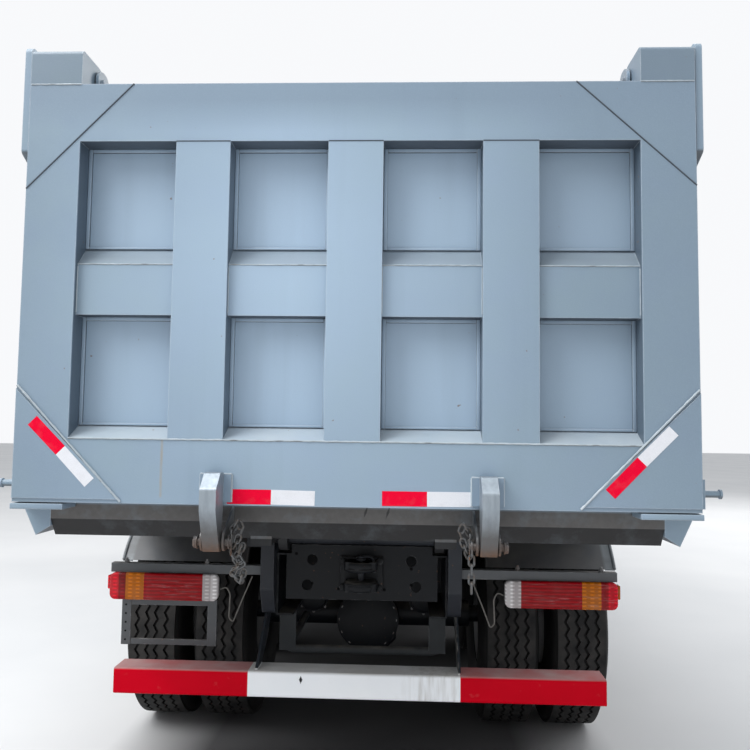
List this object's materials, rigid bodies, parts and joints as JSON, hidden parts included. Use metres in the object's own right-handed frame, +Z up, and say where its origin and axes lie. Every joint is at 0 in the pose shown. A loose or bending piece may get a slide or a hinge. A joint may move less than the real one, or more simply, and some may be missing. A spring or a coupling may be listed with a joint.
{
  "type": "three-axle dump truck",
  "caption": "Cab-over tipping lorry: steel box bed that tips on a front hoist, top-hinged tailgate with lock arms, tilting cab with doors, steered front wheels and twin rear wheels.",
  "frame": {"origin": "middle of the bounding box at ground level", "axes": "+X to the vehicle's right, +Y forward, +Z up"},
  "size_m": [2.94, 8.235, 3.0197],
  "materials": {
    "body_paint": "satin blue-grey paint with dust and rust",
    "chassis_paint": "semi-gloss near-black paint with dust",
    "cab_paint": "gloss blue-grey cab paint",
    "engine_paint": "oily grey engine paint",
    "tank_paint": "brushed aluminium",
    "zinc": "worn zinc with rust",
    "chrome_rod": "hard chrome stage",
    "tyre": "dusty tyre rubber",
    "rim": "silver wheel paint",
    "lamp_lens": "red, amber and white lenses",
    "head_lens": "clear lens over reflector",
    "glass": "tinted glass",
    "black_plastic": "grained black plastic",
    "seat_cloth": "dark woven seat cloth",
    "underrun_paint": "red and white bands"
  },
  "bodies": {
    "chassis": {"frame": "chassis_paint", "tow_jaw": "chassis_paint", "subframe": "chassis_paint", "tip_brackets": "chassis_paint", "rear_axles": "chassis_paint", "front_axle": "chassis_paint", "leaf_springs": "chassis_paint", "engine": "engine_paint", "propeller_shafts": "chassis_paint", "fuel_tank": "tank_paint", "air_tanks": "chassis_paint", "silencer": "zinc", "mudguards": "black_plastic", "underrun_bar": "underrun_paint", "lamp_brackets": "chassis_paint", "tail_lamps": "lamp_lens", "stabiliser_bar": "chassis_paint", "hoist_cradle": "chassis_paint", "cab_mounts": "chassis_paint", "front_bumper": "black_plastic", "headlamps": "head_lens", "cab_steps": "black_plastic"},
    "bed": {"bed_floor": "body_paint", "bed_sides": "body_paint", "headboard": "body_paint", "hinge_cheeks": "body_paint", "side_brackets": "body_paint", "latch_ears": "zinc", "gate_chain": "zinc"},
    "tailgate": {"tailgate": "body_paint", "gate_hinges": "body_paint", "lock_arms": "zinc"},
    "hoist_barrel": {"hoist_barrel": "chassis_paint"},
    "hoist_stage_1": {"hoist_stage_1": "chrome_rod"},
    "hoist_stage_2": {"hoist_stage_2": "chrome_rod"},
    "hoist_rod": {"hoist_rod": "chrome_rod"},
    "cab": {"cab_shell": "cab_paint", "windscreen": "glass", "grille": "black_plastic", "mirrors": "black_plastic", "seats": "seat_cloth", "dashboard": "black_plastic"},
    "door_left": {"door_left": "cab_paint", "door_glass_left": "glass"},
    "door_right": {"door_right": "cab_paint", "door_glass_right": "glass"},
    "knuckle_left": {"knuckle_left": "chassis_paint"},
    "knuckle_right": {"knuckle_right": "chassis_paint"},
    "front_wheel_left": {"front_tyres_left": "tyre", "front_rims_left": "rim"},
    "front_wheel_right": {"front_tyres_right": "tyre", "front_rims_right": "rim"},
    "rear_1_wheel_left": {"rear_1_tyres_left": "tyre", "rear_1_rims_left": "rim"},
    "rear_1_wheel_right": {"rear_1_tyres_right": "tyre", "rear_1_rims_right": "rim"},
    "rear_2_wheel_left": {"rear_2_tyres_left": "tyre", "rear_2_rims_left": "rim"},
    "rear_2_wheel_right": {"rear_2_tyres_right": "tyre", "rear_2_rims_right": "rim"}
  },
  "joints": [
    {"name": "bed_tip", "type": "hinge", "parent": "chassis", "child": "bed", "pos_m": [0, -3.2475, 1.08], "axis": [1, 0, 0], "range_deg": [0, 47]},
    {"name": "tailgate_swing", "type": "hinge", "parent": "bed", "child": "tailgate", "pos_m": [0, -3.8475, 2.9325], "axis": [-1, 0, 0], "range_deg": [0, 70]},
    {"name": "cab_tilt", "type": "hinge", "parent": "chassis", "child": "cab", "pos_m": [0, 3.9925, 0.7], "axis": [-1, 0, 0], "range_deg": [0, 50]},
    {"name": "door_left_swing", "type": "hinge", "parent": "cab", "child": "door_left", "pos_m": [-1.253, 3.8625, 1.6], "axis": [0, 0, -1], "range_deg": [0, 70]},
    {"name": "door_right_swing", "type": "hinge", "parent": "cab", "child": "door_right", "pos_m": [1.253, 3.8625, 1.6], "axis": [0, 0, 1], "range_deg": [0, 70]},
    {"name": "steer_left", "type": "hinge", "parent": "chassis", "child": "knuckle_left", "pos_m": [-0.82, 2.6175, 0.55], "axis": [0, 0, 1], "range_deg": [-38, 38]},
    {"name": "steer_right", "type": "hinge", "parent": "chassis", "child": "knuckle_right", "pos_m": [0.82, 2.6175, 0.55], "axis": [0, 0, 1], "range_deg": [-38, 38]},
    {"name": "hoist_swing", "type": "hinge", "parent": "chassis", "child": "hoist_rod", "pos_m": [0, 1.9525, 0.83], "axis": [1, 0, 0], "range_deg": [0, 23.5]},
    {"name": "hoist_slide_1", "type": "slide", "parent": "hoist_rod", "child": "hoist_stage_2", "axis": [0, 0, 1], "range_m": [0, 1.36851]},
    {"name": "hoist_slide_2", "type": "slide", "parent": "hoist_stage_2", "child": "hoist_stage_1", "axis": [0, 0, 1], "range_m": [0, 1.36851]},
    {"name": "hoist_slide_3", "type": "slide", "parent": "hoist_stage_1", "child": "hoist_barrel", "axis": [0, 0, 1], "range_m": [0, 1.36851]},
    {"name": "front_wheel_left_spin", "type": "hinge", "parent": "knuckle_left", "child": "front_wheel_left", "pos_m": [-1.01, 2.6175, 0.55], "axis": [1, 0, 0], "continuous": true},
    {"name": "front_wheel_right_spin", "type": "hinge", "parent": "knuckle_right", "child": "front_wheel_right", "pos_m": [1.01, 2.6175, 0.55], "axis": [1, 0, 0], "continuous": true},
    {"name": "rear_1_wheel_left_spin", "type": "hinge", "parent": "chassis", "child": "rear_1_wheel_left", "pos_m": [-0.895, -1.0075, 0.55], "axis": [1, 0, 0], "continuous": true},
    {"name": "rear_1_wheel_right_spin", "type": "hinge", "parent": "chassis", "child": "rear_1_wheel_right", "pos_m": [0.895, -1.0075, 0.55], "axis": [1, 0, 0], "continuous": true},
    {"name": "rear_2_wheel_left_spin", "type": "hinge", "parent": "chassis", "child": "rear_2_wheel_left", "pos_m": [-0.895, -2.3575, 0.55], "axis": [1, 0, 0], "continuous": true},
    {"name": "rear_2_wheel_right_spin", "type": "hinge", "parent": "chassis", "child": "rear_2_wheel_right", "pos_m": [0.895, -2.3575, 0.55], "axis": [1, 0, 0], "continuous": true}
  ],
  "couplings": [
    {"joint": "steer_right", "follows": "steer_left", "ratio": 1},
    {"joint": "hoist_swing", "follows": "bed_tip", "ratio": 0.5},
    {"joint": "hoist_slide_1", "follows": "bed_tip", "m_per_rad": 1.6683},
    {"joint": "hoist_slide_2", "follows": "bed_tip", "m_per_rad": 1.6683},
    {"joint": "hoist_slide_3", "follows": "bed_tip", "m_per_rad": 1.6683}
  ]
}
